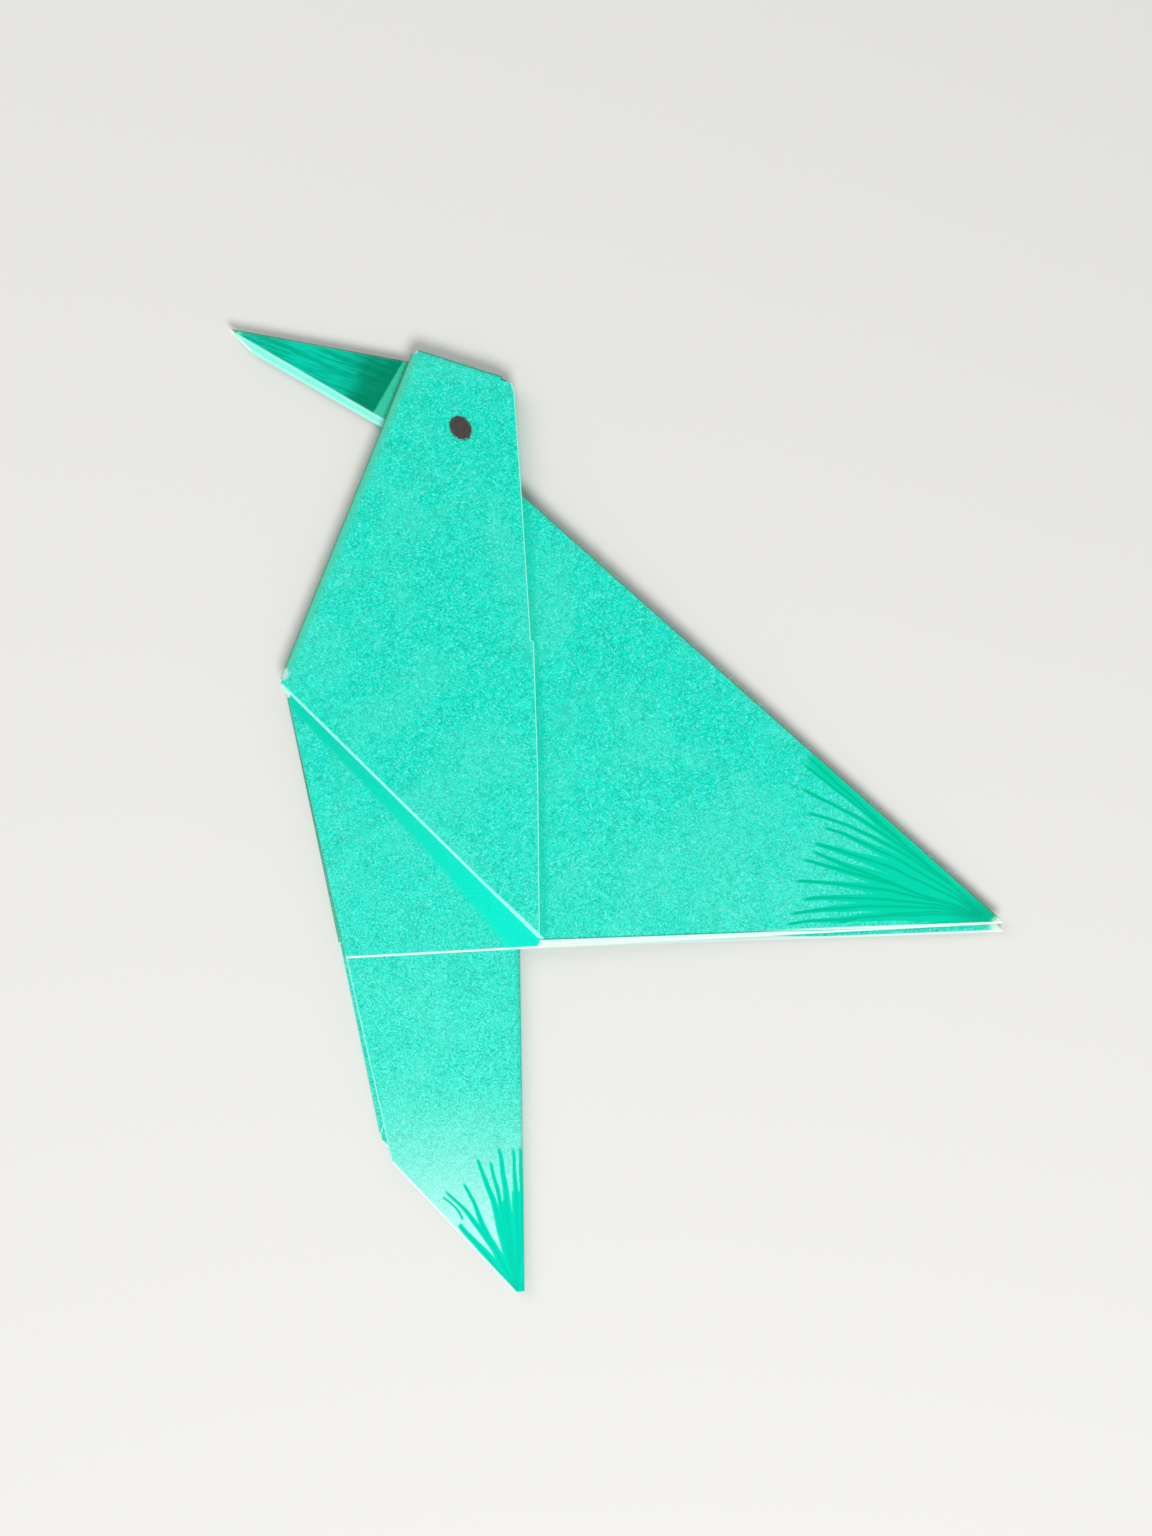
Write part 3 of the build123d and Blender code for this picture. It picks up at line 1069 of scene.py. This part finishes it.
def pen_ink(paint, place, paper, shift, outer, grain):
    """Pen strokes on the wing tip and the tail tip, solid where they meet."""
    wobble = (paint.noise(place.vector, 0.14, 1.0) - 0.5) * 1.0 + (grain - 0.5) * 0.10
    for mark, marks, end, solid, light, deep in (
        ("wing", WING_STROKES, WING_END, 7.0, WING_WASH, WING_PEN),
        ("tail", TAIL_STROKES, TAIL_END, 2.6, TAIL_WASH, TAIL_PEN),
    ):
        wash, line = strokes(place, marks, shift, wobble)
        tip = place.away(seen(end, shift)) + (grain - 0.5) * 2.0
        wash = wash.at_least(tip.ramp(solid * 0.7, solid * 1.5, 1.0, 0.0))
        panel = paint.mark(mark).ramp(0.4, 0.6) * outer
        paper = paint.mix(wash * panel, paper, light)
        paper = paint.mix(line * panel * 0.50, paper, deep)
        paper = paint.mix(tip.ramp(0.5, solid, 0.60, 0.0) * panel, paper, deep)
    return paper


# The eye's middle as a pixel of the photograph, its lean, and its half sizes.
EYE_PIXEL = (461, 429)
EYE_LEAN = math.radians(36)
EYE_HALF_WIDTH = 1.68
EYE_HALF_HEIGHT = 2.18


def eye_dot(paint, place, paper, shift, outer, grain):
    """A leaning dot of dark ink with an uneven rim."""
    middle = seen(EYE_PIXEL, shift)
    east, north = place.x - middle[0], place.y - middle[1]
    across = east * math.cos(EYE_LEAN) + north * math.sin(EYE_LEAN)
    upward = north * math.cos(EYE_LEAN) - east * math.sin(EYE_LEAN)
    size = ((across / EYE_HALF_WIDTH) ** 2 + (upward / EYE_HALF_HEIGHT) ** 2) ** 0.5
    size += (grain - 0.5) * 0.42
    dot = size.ramp(0.86, 1.08, 0.98, 0.0) * paint.mark("neck").ramp(0.4, 0.6)
    ink = paint.mix(grain.ramp(0.48, 0.70) * 0.55, EYE_BROWN, EYE_GREY)
    return paint.mix(dot * outer, paper, ink)


# Half the floor's side, and each lamp's place, diameter and power.
FLOOR_HALF = 3.0
LAMPS = {
    "key": ((0.10, -0.60, 0.76), 0.45, 6.75),
    "fill": ((-0.45, 0.35, 0.60), 0.60, 1.6),
}
SURROUND_LIGHT = 0.42


def floor_and_light():
    """A pale floor, a soft key from the tail side, a fill and an even surround."""
    half = FLOOR_HALF
    mesh = bpy.data.meshes.new("floor")
    corners = [(-half, -half, 0), (half, -half, 0), (half, half, 0), (-half, half, 0)]
    mesh.from_pydata(corners, [], [(0, 1, 2, 3)])
    floor = bpy.data.objects.new("floor", mesh)
    bpy.context.scene.collection.objects.link(floor)
    paint = Paint("pale_floor")
    paint.set(Base_Color=srgb(226, 225, 222), Roughness=0.9)
    mesh.materials.append(paint.material)
    for name, (place, size, power) in LAMPS.items():
        lamp_at(name, place, size, power)
    world = bpy.data.worlds.new("surround")
    world.use_nodes = True
    background = world.node_tree.nodes["Background"]
    background.inputs["Color"].default_value = (1, 1, 1, 1)
    background.inputs["Strength"].default_value = SURROUND_LIGHT
    bpy.context.scene.world = world


def lamp_at(name, place, size, power):
    """A round soft lamp that shines at the bird."""
    light = bpy.data.lights.new(name, "AREA")
    light.shape = "DISK"
    light.size = size
    light.energy = power
    lamp = bpy.data.objects.new(name, light)
    lamp.location = place
    lamp.rotation_mode = "QUATERNION"
    lamp.rotation_quaternion = (-Vector(place)).to_track_quat("-Z", "Y")
    bpy.context.scene.collection.objects.link(lamp)


# The camera stands where the bird is as large in its picture as in the photograph,
# which is PHOTO_HEIGHT_PIXELS tall.
PHOTO_MIDDLE = (576, 768)
PHOTO_HEIGHT_PIXELS = 1536
LENS = 42.0
LONG_SIDE = 36.0
# The photograph's outlines are measured at about this height in the pile of layers.
MEASURED_HEIGHT = 2.6 * MM


def camera_above(shift):
    """Looks straight down at the middle of the photograph."""
    data = bpy.data.cameras.new("camera")
    data.lens = LENS
    data.sensor_width = LONG_SIDE
    camera = bpy.data.objects.new("camera", data)
    x, y = seen(PHOTO_MIDDLE, shift)
    distance = PHOTO_HEIGHT_PIXELS * PIXEL * LENS / LONG_SIDE
    camera.location = (x * MM, y * MM, MEASURED_HEIGHT + distance)
    bpy.context.scene.collection.objects.link(camera)
    bpy.context.scene.camera = camera
    data.clip_start = distance * 0.1


sheet = build_sheet()
sheet_shift = set_into_frame(sheet)
sheet.data.materials.append(paper_material(sheet_shift))
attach(sheet, "root")
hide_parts("folded_sheet")
floor_and_light()
camera_above(sheet_shift)
bpy.context.scene.view_settings.view_transform = "Standard"
